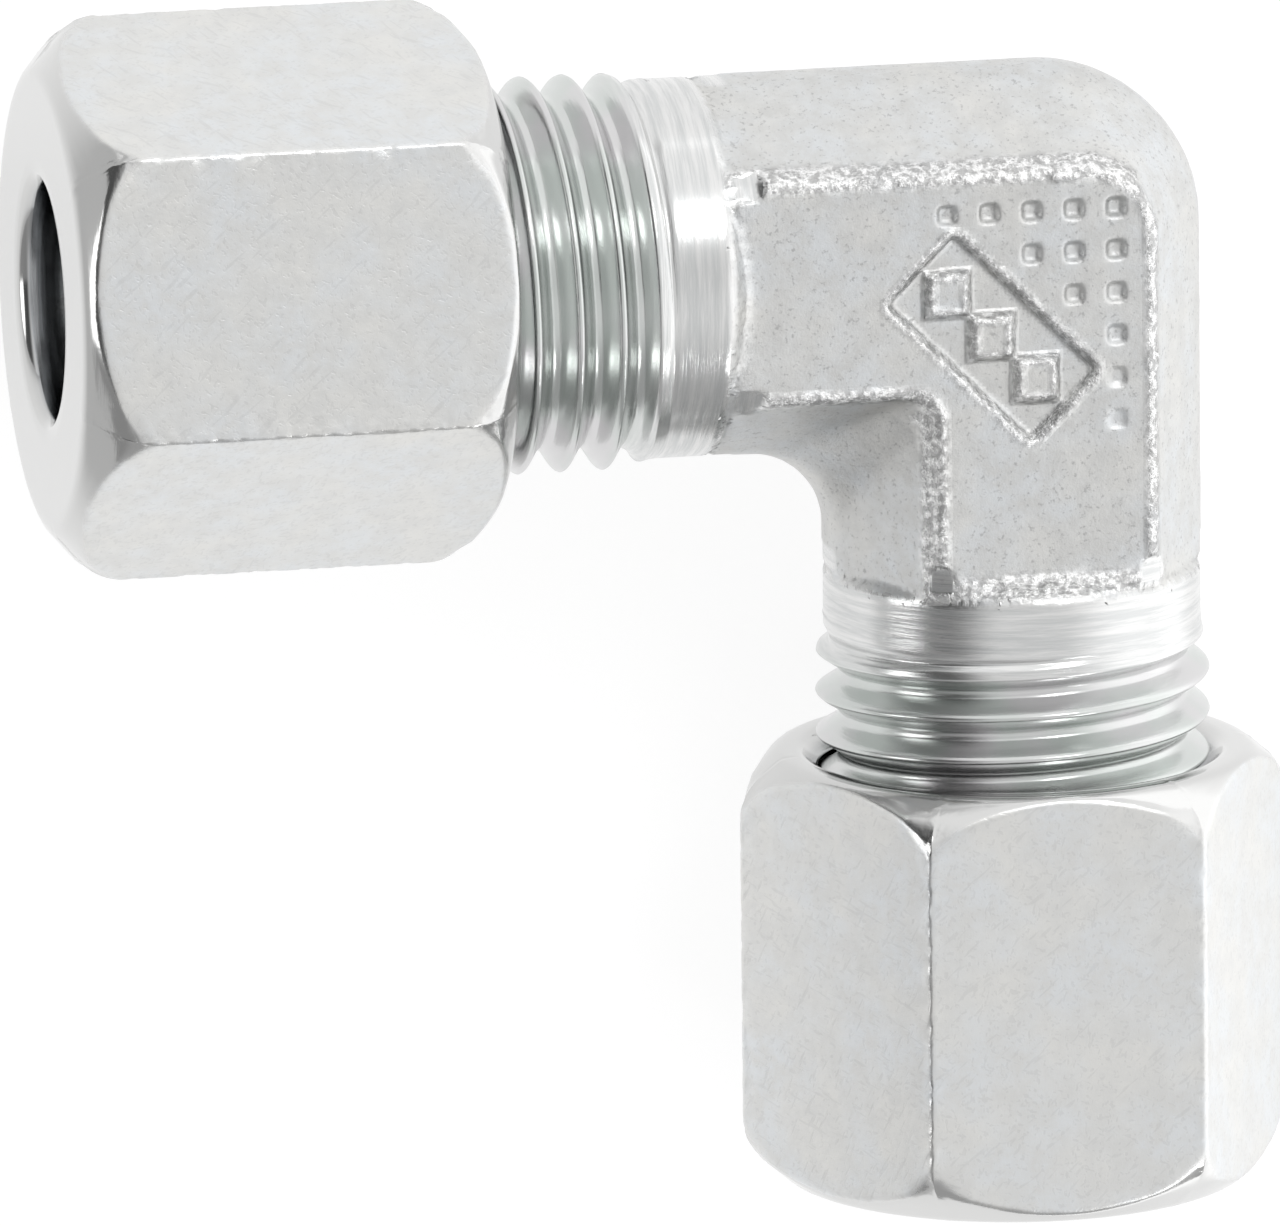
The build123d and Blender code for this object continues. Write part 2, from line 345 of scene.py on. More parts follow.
def elbow_distance(points, skin=0.0):
    """Distance to the elbow body up to the shanks; skin is how far the forging is raised."""
    x, y, z = points.T
    solid = forging_distance(x, y, z) - skin
    arms = (-x, np.hypot(y, z)), (-y, np.hypot(x, z))
    for along, radius in arms:
        uncut = round_union(along - TURNED_FROM, radius - SHANK_R, TOOL_NOSE_R)
        solid = np.maximum(solid, uncut)
    for along, radius in arms:
        ramp = cone_distance(radius, along, RAMP_R, RAMP_START, SHANK_R, RAMP_END) - skin
        shank = round_cut(radius - SHANK_R, ramp, RAMP_EDGE_R)
        solid = round_union(solid, shank, RAMP_FILLET_R)
    for along, radius in arms:
        tip = radius - FLOW_R - (along + FLOW_OVERRUN) * DRILL_SLOPE
        tip /= math.hypot(1, DRILL_SLOPE)
        solid = np.maximum(solid, -np.maximum(radius - FLOW_R, tip))
    return solid


def forged_skin(points):
    """How far the forged skin stands proud: fine grain, and crinkles along trimmed edges."""
    grain = GRAIN_HEIGHT * rough_noise(points, GRAIN_SIZE, 2, GRAIN_SEED)
    band = edge_band(*points.T) * (0.75 + 0.45 * value_noise(points, 1.4, BAND_SEED))
    return grain + CRINKLE_HEIGHT * band * rough_noise(points, CRINKLE_SIZE, 2, CRINKLE_SEED)


def rough_elbow_distance(points):
    """Distance to the elbow body with its forged skin."""
    return elbow_distance(points, forged_skin(points))


def nut_distance(points, start, end, corner):
    """Distance to a nut's outside in arm coordinates, and a share that is 1 along its edges."""
    along, u, v = points.T
    radius = np.hypot(u, v)
    offsets = []
    for face in range(3):
        angle = math.radians(corner + 30 + 60 * face)
        offsets.append(np.abs(u * math.sin(angle) + v * math.cos(angle)) - NUT_FLATS / 2)
    sides = round_cut(round_cut(offsets[0], offsets[1], HEX_EDGE_R), offsets[2], HEX_EDGE_R)
    lean = math.hypot(1, 1 / HEX_CHAMFER_SLOPE)
    mouth = (radius - HEX_MOUTH_FACE_R - (along - start) / HEX_CHAMFER_SLOPE) / lean
    outer = (radius - HEX_FACE_R - (end - along) / HEX_CHAMFER_SLOPE) / lean
    cones = np.maximum(mouth, outer)
    nearest = np.sort(np.stack(offsets), axis=0)
    edge = np.maximum(
        smoothstep(0.5, 0.05, nearest[2] - nearest[1]),
        0.6 * smoothstep(0.25, 0.03, np.abs(nearest[2] - cones)),
    )
    edge *= smoothstep(-0.4, -0.1, np.maximum(nearest[2], cones))
    nick = NICK_DEPTH * edge * rough_noise(points + 40 * start, NICK_SIZE, 2, NICK_SEED)
    blend = 0.15 + 0.5 * smoothstep(1.2, 0.0, nearest[2] - nearest[1])
    solid = round_cut(sides, cones, blend)
    solid = round_cut(solid, np.maximum(start - along, along - end), FACE_EDGE_R)
    return solid - np.minimum(nick, NICK_RISE), edge


# ---------------------------------------------------------------- surfaces from distances

def grid_stops(low, fine_low, fine_high, high):
    """Grid lines from low to high, closer together between fine_low and fine_high."""
    stops = []
    for start, end, step in (
        (low, fine_low, COARSE),
        (fine_low, fine_high, FINE),
        (fine_high, high, COARSE),
    ):
        stops.append(np.linspace(start, end, round((end - start) / step), endpoint=False))
    return np.concatenate(stops + [[high]])


def surface_net(distance, stops):
    """Vertices and quads of the surface where distance is 0, a vertex in each cell it crosses."""
    shape = [len(s) for s in stops]
    field = np.empty(shape, np.float32)
    yy, zz = np.meshgrid(stops[1], stops[2], indexing="ij")
    for i, x in enumerate(stops[0]):
        slab = np.stack([np.full(yy.size, x), yy.ravel(), zz.ravel()], axis=1)
        field[i] = distance(slab).reshape(yy.shape)
    cells = [n - 1 for n in shape]
    total = np.zeros(cells + [3])
    crossings = np.zeros(cells)
    edges = []
    for axis in range(3):
        low = np.moveaxis(field, axis, 0)[:-1]
        high = np.moveaxis(field, axis, 0)[1:]
        low, high = np.moveaxis(low, 0, axis), np.moveaxis(high, 0, axis)
        crossed = (low < 0) != (high < 0)
        where = np.argwhere(crossed)
        share = low[crossed] / (low[crossed] - high[crossed])
        point = where.astype(float)
        point[:, axis] += share
        across = (axis + 1) % 3, (axis + 2) % 3
        corners = []
        for back in ((1, 1), (0, 1), (0, 0), (1, 0)):
            cell = where.copy()
            cell[:, across[0]] -= back[0]
            cell[:, across[1]] -= back[1]
            inside = np.all((cell >= 0) & (cell < cells), axis=1)
            index = tuple(cell[inside].T)
            np.add.at(total, index, point[inside])
            np.add.at(crossings, index, 1)
            corners.append((cell, inside))
        edges.append((corners, low[crossed] < 0))
    used = crossings > 0
    number = np.full(cells, -1)
    number[used] = np.arange(np.count_nonzero(used))
    in_grid = total[used] / crossings[used][:, None]
    vertices = [np.interp(in_grid[:, k], np.arange(shape[k]), stops[k]) for k in range(3)]
    quads = []
    for corners, outward in edges:
        whole = np.all([inside for _, inside in corners], axis=0)
        quad = np.stack([number[tuple(cell[whole].T)] for cell, _ in corners], axis=1)
        quad[~outward[whole]] = quad[~outward[whole]][:, ::-1]
        quads.append(quad)
    return np.stack(vertices, axis=1), np.concatenate(quads)


def settle(distance, points, rounds=4):
    """Moves points onto the surface where distance is 0, along its slope."""
    step = 0.01
    for _ in range(rounds):
        value = distance(points)
        slope = np.empty_like(points)
        for axis in range(3):
            shift = np.zeros(3)
            shift[axis] = step
            slope[:, axis] = (distance(points + shift) - value) / step
        size = np.maximum((slope ** 2).sum(axis=1), 0.25)
        points = points - np.clip(value / size, -0.08, 0.08)[:, None] * slope
    return points


def open_loops(quads):
    """The open edges of a quad mesh as closed loops of vertex numbers."""
    heads = quads.ravel()
    tails = np.roll(quads, -1, axis=1).ravel()
    scale = int(quads.max()) + 1
    lonely = ~np.isin(heads * scale + tails, tails * scale + heads)
    follow = dict(zip(heads[lonely].tolist(), tails[lonely].tolist()))
    loops = []
    while follow:
        first, at = follow.popitem()
        loop = [first]
        while at != first:
            loop.append(at)
            at = follow.pop(at)
        loops.append(loop)
    return loops


# ---------------------------------------------------------------- turned surfaces

class Skin:
    """Vertices and faces of one surface in arm coordinates, made loop by loop."""

    def __init__(self, angles):
        self.angles = angles
        self.points = []
        self.faces = []

    def loop(self, along, radius):
        """Adds a loop of vertices; along and radius may differ from angle to angle."""
        first = len(self.points)
        u, v = radius * np.sin(self.angles), radius * np.cos(self.angles)
        self.points.extend(np.stack(np.broadcast_arrays(along, u, v), axis=1).tolist())
        return np.arange(first, first + len(self.angles))

    def join(self, first, second):
        """Quads between two loops."""
        quads = np.stack([first, np.roll(first, -1), np.roll(second, -1), second], axis=1)
        self.faces.extend(quads.tolist())

    def sweep(self, loop, places):
        """Carries a loop through (along, radius) places and returns the last loop."""
        for along, radius in places:
            following = self.loop(along, radius)
            self.join(loop, following)
            loop = following
        return loop

    def helix(self, first, end, radius_at):
        """Carries a loop to the plane at end in rows that follow the thread; returns the last."""
        start = self.points[first[0]][0]
        count = len(self.angles)
        step = PITCH / ROWS_PER_PITCH
        low = math.floor((start - PITCH - CREST_AT) / step)
        rows = math.ceil((end - CREST_AT) / step) - low + 1 + ROWS_PER_PITCH
        along = CREST_AT + step * (low + np.arange(rows))[:, None]
        along = along + PITCH * self.angles / (2 * math.pi)
        last = self.loop(end, radius_at(np.full(count, end), self.angles))
        numbers = np.where(along < end, 0, last)
        numbers = np.where(along > start, numbers, first)
        inner = (along > start) & (along < end)
        numbers[inner] = len(self.points) + np.arange(np.count_nonzero(inner))
        angle = np.broadcast_to(self.angles, along.shape)[inner]
        radius = radius_at(along[inner], angle)
        made = [along[inner], radius * np.sin(angle), radius * np.cos(angle)]
        self.points.extend(np.stack(made, axis=1).tolist())
        wrapped = np.concatenate([numbers[:-ROWS_PER_PITCH], numbers[ROWS_PER_PITCH:, :1]], axis=1)
        left, right = wrapped[:, :-1], wrapped[:, 1:]
        quads = np.stack([left[:-1], left[1:], right[1:], right[:-1]], axis=-1)
        for quad in quads.reshape(-1, 4).tolist():
            face = list(dict.fromkeys(quad))
            if len(face) > 2:
                self.faces.append(face)
        return last


def clamp_smooth(value, low, high, blend):
    """Keeps a value between low and high, with rounded turns."""
    above = low + (value - low + np.sqrt((value - low) ** 2 + blend ** 2)) / 2
    return high - (high - above + np.sqrt((high - above) ** 2 + blend ** 2)) / 2


def off_crest(along, angle):
    """Distance along the arm from the middle of the nearest ridge."""
    phase = (along - CREST_AT) / PITCH - angle / (2 * math.pi)
    return PITCH * np.abs(phase - np.round(phase))


def male_radius(along, angle):
    """Radius of the arm's outside from the shank to its end."""
    ridge = PITCH_R + (MALE_WIDTH / 2 - off_crest(along, angle)) / FLANK
    ridge = clamp_smooth(ridge, MALE_ROOT_R, MALE_CREST_R, CREST_BLEND)
    lift = np.interp(along, [SHANK_END, RIDGE_FULL], [SHANK_R, ENVELOPE_R])
    lead_start = BODY_END - (ENVELOPE_R - LEAD_R)
    lead = np.interp(along, [lead_start, BODY_END], [ENVELOPE_R, LEAD_R])
    core = np.interp(along, [SHANK_END, RUNOUT_END], [SHANK_R, MALE_ROOT_R])
    ridge = np.minimum(ridge, np.minimum(lift, lead))
    return core + (ridge - core + np.sqrt((ridge - core) ** 2 + ROOT_BLEND ** 2)) / 2


def female_radius(start):
    """Radius of a nut's thread from its chamfered mouth at start."""

    def radius_at(along, angle):
        groove = PITCH_R + (FEMALE_WIDTH / 2 - off_crest(along, angle)) / FLANK
        groove = clamp_smooth(groove, FEMALE_CREST_R, FEMALE_ROOT_R, ROOT_BLEND)
        return np.maximum(groove, NUT_MOUTH_R - (along - start))

    return radius_at


def to_world(points, arm):
    """Arm coordinates to the row frame."""
    along, u, v = np.asarray(points, float).T
    columns = (-along, u, v) if arm == "inlet" else (-u, -along, v)
    return np.stack(columns, axis=1)


def angle_on(points, arm):
    """Angle of row-frame points about an arm, from straight up."""
    x, y, z = points.T
    return np.arctan2(y if arm == "inlet" else -x, z) % (2 * math.pi)


def zip_loops(first, first_angles, second, second_angles):
    """Triangles between two loops round the same axis."""
    a, b = np.argsort(first_angles), np.argsort(second_angles)
    first, second = np.asarray(first)[a], np.asarray(second)[b]
    turns_a = np.append(first_angles[a], first_angles[a][0] + 2 * math.pi)
    turns_b = np.append(second_angles[b], second_angles[b][0] + 2 * math.pi)
    i = j = 0
    faces = []
    while i < len(first) or j < len(second):
        near, far = first[i % len(first)], second[j % len(second)]
        if j == len(second) or (i < len(first) and turns_a[i + 1] < turns_b[j + 1]):
            i += 1
            faces.append([near, first[i % len(first)], far])
        else:
            j += 1
            faces.append([near, second[j % len(second)], far])
    return faces


# ---------------------------------------------------------------- pieces

def mesh_object(name, points, faces, attributes):
    """A closed smooth mesh with its point attributes, from millimetres."""
    mesh = bpy.data.meshes.new(name)
    mesh.from_pydata((np.asarray(points) * MM).tolist(), [], faces)
    for key, values in attributes.items():
        layer = mesh.attributes.new(key, "FLOAT", "POINT")
        layer.data.foreach_set("value", np.asarray(values, np.float32))
    work = bmesh.new()
    work.from_mesh(mesh)
    bmesh.ops.recalc_face_normals(work, faces=work.faces)
    work.to_mesh(mesh)
    work.free()
    mesh.polygons.foreach_set("use_smooth", [True] * len(mesh.polygons))
    made = bpy.data.objects.new(name, mesh)
    bpy.context.scene.collection.objects.link(made)
    return made


def arm_skin():
    """An arm from its plain shank over the thread, round the end and back down the bore."""
    skin = Skin(np.arange(AROUND_ARM) * 2 * math.pi / AROUND_ARM)
    outside = skin.loop(JOIN, SHANK_R)
    thread_start = SHANK_END - 0.4
    loop = skin.sweep(outside, [(a, SHANK_R) for a in np.linspace(JOIN, thread_start, 8)[1:]])
    loop = skin.helix(loop, BODY_END - 0.05, male_radius)
    cone_depth = (CONE_MOUTH_R - SOCKET_R) / CONE_TAPER
    places = [
        (BODY_END, LEAD_R - 0.12),
        (BODY_END, CONE_MOUTH_R + 0.12),
        (BODY_END - 0.04, CONE_MOUTH_R + 0.03),
        (BODY_END - 0.15, CONE_MOUTH_R - 0.02),
        (BODY_END - cone_depth, SOCKET_R),
        (BODY_END - cone_depth - 0.3, SOCKET_R),
        (TUBE_STOP + 0.15, SOCKET_R),
        (TUBE_STOP + 0.03, SOCKET_R - 0.03),
        (TUBE_STOP, SOCKET_R - 0.15),
        (TUBE_STOP, FLOW_R + 0.15),
        (TUBE_STOP - 0.03, FLOW_R + 0.03),
        (TUBE_STOP - 0.15, FLOW_R),
        (JOIN, FLOW_R),
    ]
    inside = skin.sweep(loop, places)
    return skin, outside, inside


def forged_share(points):
    """1 on the forged skin, 0 on turned and drilled surfaces."""
    x, y, z = points.T
    block = np.abs(forging_distance(x, y, z) - forged_skin(points))
    share = smoothstep(0.06, 0.03, block)
    for along, radius in ((-x, np.hypot(y, z)), (-y, np.hypot(x, z))):
        ramp = np.abs(cone_distance(radius, along, RAMP_R, RAMP_START, SHANK_R, RAMP_END))
        share = np.maximum(share, smoothstep(0.12, 0.05, ramp) * (radius < SHANK_R - 0.06))
    return share


def make_elbow():
    """The elbow body: the forging as one surface net, joined to two turned arms."""
    flats = grid_stops(-JOIN, *FINE_FLATS, RIM_HALF + 0.4)
    heights = grid_stops(-RIM_HALF - 0.2, *FINE_HEIGHTS, RIM_HALF + 0.2)
    points, quads = surface_net(elbow_distance, [flats, flats, heights])
    points = settle(rough_elbow_distance, points)
    forged = [forged_share(points)]
    band = [edge_band(*points.T)]
    faces = quads.tolist()
    loops = open_loops(quads)
    everything = [points]
    count = len(points)
    for arm, axis in (("inlet", 0), ("outlet", 1)):
        skin, outside, inside = arm_skin()
        arm_points = to_world(skin.points, arm)
        faces += [[n + count for n in face] for face in skin.faces]
        for loop in loops:
            at = points[loop]
            if abs(at[:, axis].mean() + JOIN) > COARSE:
                continue
            radius = np.hypot(at[:, 1 - axis], at[:, 2]).mean()
            other = outside if radius > SOCKET_R else inside
            turns = angle_on(at, arm), angle_on(arm_points[other], arm)
            faces += zip_loops(loop, turns[0], other + count, turns[1])
        everything.append(arm_points)
        forged.append(np.zeros(len(arm_points)))
        band.append(np.zeros(len(arm_points)))
        count += len(arm_points)
    attributes = {"forged": np.concatenate(forged), "edge": np.concatenate(band)}
    return mesh_object("elbow", np.concatenate(everything), faces, attributes)


def nut_angles(corner):
    """Angles round a nut, close together at the hexagon's corners."""
    evenly = np.arange(0, 360, NUT_STEP_DEGREES)
    near = np.array([0, 0.25, 0.55, 0.95, 1.5])
    corners = [corner + 60 * k + side * off for k in range(6) for side in (-1, 1) for off in near]
    angles = np.unique(np.round(np.concatenate([evenly, corners]) % 360, 3))
    keep = np.ones(len(angles), bool)
    off_corner = np.abs((angles - corner + 30) % 60 - 30)
    after = np.diff(angles, append=angles[0] + 360)
    before = np.diff(angles, prepend=angles[-1] - 360)
    keep[(np.minimum(after, before) < 0.2) & (off_corner > 1.6)] = False
    return np.radians(angles[keep])


def nut_skin(start, end, corner):
    """A nut's whole surface in arm coordinates: outside, end face, bore, thread and mouth."""
    skin = Skin(nut_angles(corner))
    off_face = (np.degrees(skin.angles) - corner) % 60 - 30
    hexagon = NUT_FLATS / 2 / np.cos(np.radians(off_face))
    mouth_crease = start + (hexagon - HEX_MOUTH_FACE_R) * HEX_CHAMFER_SLOPE
    outer_crease = end - (hexagon - HEX_FACE_R) * HEX_CHAMFER_SLOPE
    first = skin.loop(start, NUT_MOUTH_R + 0.2)
    loop = skin.sweep(first, [(start, r) for r in (7.8, 8.05, 8.2)])
    chamfer_shares = (0, 0.08, 0.2, 0.4, 0.6, 0.8, 0.92, 1)
    for share in chamfer_shares:
        along = start + share * (mouth_crease - start)
        loop = skin.sweep(loop, [(along, HEX_MOUTH_FACE_R + share * (hexagon - HEX_MOUTH_FACE_R))])
    ends = [0.03, 0.08, 0.15, 0.25]
    length = outer_crease - mouth_crease
    for near in ends:
        loop = skin.sweep(loop, [(mouth_crease + near, hexagon)])
    for share in np.linspace(0, 1, NUT_ROWS)[1:-1]:
        along = mouth_crease + ends[-1] + share * (length - 2 * ends[-1])
        loop = skin.sweep(loop, [(along, hexagon)])
    for near in reversed(ends):
        loop = skin.sweep(loop, [(outer_crease - near, hexagon)])
    for share in reversed(chamfer_shares):
        along = end - share * (end - outer_crease)
        loop = skin.sweep(loop, [(along, HEX_FACE_R + share * (hexagon - HEX_FACE_R))])
    loop = skin.sweep(loop, [(end, r) for r in (7.9, 7.75, 7.5, 7.0, 6.0, 5.0)])
    outside = len(skin.points)
    rim = NUT_BORE_R + NUT_BORE_CHAMFER
    cone_end = start + NUT_CONE_START + FEMALE_CREST_R - NUT_BORE_R
    thread_end = start + NUT_THREAD_LENGTH
    loop = skin.sweep(
        loop,
        [
            (end, rim + 0.12),
            (end - 0.03, rim + 0.02),
            (end - 0.10, rim - 0.08),
            (end - 0.28, NUT_BORE_R + 0.04),
            (end - 0.42, NUT_BORE_R),
            (cone_end + 0.2, NUT_BORE_R),
            (cone_end - 0.1, NUT_BORE_R + 0.12),
            (start + NUT_CONE_START + 0.1, FEMALE_CREST_R - 0.12),
            (start + NUT_CONE_START - 0.1, FEMALE_CREST_R),
            (start + NUT_RELIEF_END, FEMALE_CREST_R + 0.05),
            (start + NUT_RELIEF_END, NUT_RELIEF_R - 0.1),
            (start + NUT_RELIEF_END - 0.1, NUT_RELIEF_R),
            (thread_end + 0.1, NUT_RELIEF_R),
            (thread_end, NUT_RELIEF_R - 0.05),
        ],
    )
    radius_at = female_radius(start)
    mouth = skin.loop(start + 0.1, NUT_MOUTH_R - 0.1)
    at_end = skin.helix(mouth, thread_end - 0.02, radius_at)
    skin.join(loop, at_end)
    lip = skin.loop(start + 0.02, NUT_MOUTH_R + 0.03)
    skin.join(mouth, lip)
    skin.join(lip, first)
    return skin, outside


def make_nut(name, node, arm, axis, corner):
    """A union nut in place of its CAD node."""
    low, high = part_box(node)
    start, end = -high[axis] / MM, -low[axis] / MM
    skin, outside = nut_skin(start, end, corner)
    points = np.array(skin.points)
    shape = start, end, corner
    points[:outside] = settle(lambda p: nut_distance(p, *shape)[0], points[:outside])
    points[:, 0] = np.clip(points[:, 0], start, end)
    edge = nut_distance(points, *shape)[1]
    edge[outside:] = 0
    radius = np.hypot(points[:, 1], points[:, 2])
    off_face = (np.degrees(np.arctan2(points[:, 1], points[:, 2])) - corner) % 60 - 30
    flat = radius * np.cos(np.radians(off_face)) - NUT_FLATS / 2
    drawn = smoothstep(-0.10, -0.02, flat)
    # Painted shade: inner is 1 down the nut's bore, 0.6 over its thread, relief and mouth, and
    # fades out near both faces.
    inner = np.zeros(len(points))
    inner[outside:] = 1
    inner *= smoothstep(0.15, 0.5, points[:, 0] - start)
    inner *= smoothstep(0.2, 0.45, end - points[:, 0])
    inner *= np.where(radius > FEMALE_CREST_R - 0.1, 0.6, 1)
    attributes = {"drawn": drawn, "edge": edge, "inner": inner}
    return mesh_object(name, to_world(points, arm), skin.faces, attributes)


def make_ring(name, node, arm, axis):
    """A cutting ring in place of its CAD node."""
    low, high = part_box(node)
    start, end = -high[axis] / MM, -low[axis] / MM
    skin = Skin(np.arange(AROUND_RING) * 2 * math.pi / AROUND_RING)
    collar = start + RING_COLLAR_START
    tail = end - (RING_COLLAR_R - RING_TAIL_R)
    first = skin.loop(start + 0.02, RING_BORE_R + 0.05)
    loop = skin.sweep(
        first,
        [
            (start, RING_BORE_R + 0.08),
            (start, RING_NOSE_R - 0.12),
            (start + 0.05, RING_NOSE_R - 0.08),
            (start + 0.3, RING_NOSE_R - 0.01),
            (start + 1.3, RING_NOSE_R + 0.2),
            (start + RING_NOSE_LENGTH - 0.05, RING_WAIST_R - 0.02),
            (start + RING_NOSE_LENGTH + 0.05, RING_WAIST_R),
            (collar - 0.05, RING_WAIST_R),
            (collar + 0.03, RING_WAIST_R + 0.05),
            (collar + 0.45, RING_COLLAR_R - 0.06),
            (collar + 0.56, RING_COLLAR_R),
            (tail - 0.06, RING_COLLAR_R),
            (tail + 0.05, RING_COLLAR_R - 0.06),
            (end - 0.05, RING_TAIL_R + 0.04),
            (end, RING_TAIL_R - 0.04),
            (end, RING_BORE_R + 0.06),
            (end - 0.06, RING_BORE_R),
            (start + 0.08, RING_BORE_R),
        ],
    )
    skin.join(loop, first)
    return mesh_object(name, to_world(skin.points, arm), skin.faces, {})


# ---------------------------------------------------------------- materials

class Graph:
    """Builds a node tree with short calls."""

    def __init__(self, tree):
        tree.nodes.clear()
        self.tree = tree

    def node(self, kind, inputs=None, **settings):
        """A node with its settings made and its inputs set or linked; returns its outputs."""
        made = self.tree.nodes.new(kind)
        for key, value in settings.items():
            setattr(made, key, value)
        for key, value in (inputs or {}).items():
            if isinstance(value, bpy.types.NodeSocket):
                self.tree.links.new(value, made.inputs[key])
            else:
                made.inputs[key].default_value = value
        return made.outputs

    def math(self, operation, a, b=0.0):
        """One arithmetic step."""
        return self.node("ShaderNodeMath", {0: a, 1: b}, operation=operation)[0]

    def mix(self, share, low, high):
        """A number that goes from low to high as share goes from 0 to 1."""
        return self.node("ShaderNodeMix", {0: share, 2: low, 3: high}, data_type="FLOAT")[0]

    def mix_colour(self, share, low, high):
        """A colour that goes from low to high as share goes from 0 to 1."""
        return self.node("ShaderNodeMix", {0: share, 6: low, 7: high}, data_type="RGBA")[2]

    def noise(self, at, scale, detail=2.0, roughness=0.5):
        """Noise with scale features to the millimetre."""
        inputs = {"Vector": at, "Scale": scale, "Detail": detail, "Roughness": roughness}
        return self.node("ShaderNodeTexNoise", inputs)[0]

    def ramp(self, value, low, high):
        """0 at low and 1 at high."""
        inputs = {0: value, 1: low, 2: high, 3: 0.0, 4: 1.0}
        return self.node("ShaderNodeMapRange", inputs, interpolation_type="SMOOTHSTEP")[0]

    def stretched(self, at, turn, stretch):
        """The same place with one direction drawn out, for streaks that run along it."""
        turned = self.node("ShaderNodeMapping", {"Vector": at, "Rotation": turn})[0]
        return self.node("ShaderNodeMapping", {"Vector": turned, "Scale": stretch})[0]

    def attribute(self, name):
        """A point attribute of the mesh."""
        return self.node("ShaderNodeAttribute", attribute_name=name)[2]


def grey(level):
    """A plain grey as a colour."""
    return level, level, level, 1


def new_material(name):
    """An empty node material and the graph that fills it."""
    material = bpy.data.materials.new(name)
    material.use_nodes = True
    return material, Graph(material.node_tree)


def zinc(graph, colour, roughness, height, step):
    """The metal shader with its bump; height is in units of step millimetres."""
    inputs = {"Height": height, "Strength": 1.0, "Distance": step * MM}
    bump = graph.node("ShaderNodeBump", inputs)[0]
    shader = graph.node(
        "ShaderNodeBsdfPrincipled",
        {"Base Color": colour, "Metallic": 1.0, "Roughness": roughness, "Normal": bump},
    )[0]
    graph.node("ShaderNodeOutputMaterial", {"Surface": shader})


def place_in_mm(graph):
    """The object's own coordinates in millimetres."""
    own = graph.node("ShaderNodeTexCoord")["Object"]
    return graph.node("ShaderNodeVectorMath", {0: own, "Scale": 1 / MM}, operation="SCALE")[0]


def tinted_zinc(graph, at, light, dark):
    """Zinc colour with cloudy patches and the faint warm and cool tints of its passivation."""
    cloud = graph.ramp(graph.noise(at, 0.35, 3.0), 0.35, 0.65)
    cool = 0.975 * light, light, 1.02 * light, 1
    warm = light, 0.995 * light, 0.97 * light, 1
    patch = graph.ramp(graph.noise(at, 1.0, 6.0, 0.7), 0.34, 0.70)
    dull = dark, dark, 0.985 * dark, 1
    return graph.mix_colour(patch, graph.mix_colour(cloud, cool, warm), dull)


def hair_lines(graph, at):
    """Thin short scratches in four directions: 1 on a scratch, 0 off it."""
    lines = 0.0
    for turn in ((0.3, 0.5, 0.4), (1.2, 0.2, 1.1), (0.1, 1.3, 2.2), (2.1, 0.7, 0.2)):
        streak = graph.noise(graph.stretched(at, turn, (0.14, 1.0, 1.0)), 6.0, 1.0)
        lines = graph.math("MAXIMUM", lines, graph.ramp(streak, 0.63, 0.72))
    return lines


def turned_lines(graph, along, u, v):
    """Fine tool lines that run round an axis and fade in and out."""
    place = graph.node("ShaderNodeCombineXYZ", {0: along, 1: u, 2: v})[0]
    squeeze = {0: place, 1: (1.0, 0.05, 0.05)}
    drawn = graph.node("ShaderNodeVectorMath", squeeze, operation="MULTIPLY")[0]
    return graph.noise(drawn, 4.5, 5.0, 0.7)


def distance_from_axis(graph, u, v):
    """Radius from the two coordinates across an axis."""
    squares = graph.math("ADD", graph.math("MULTIPLY", u, u), graph.math("MULTIPLY", v, v))
    return graph.math("SQRT", squares)


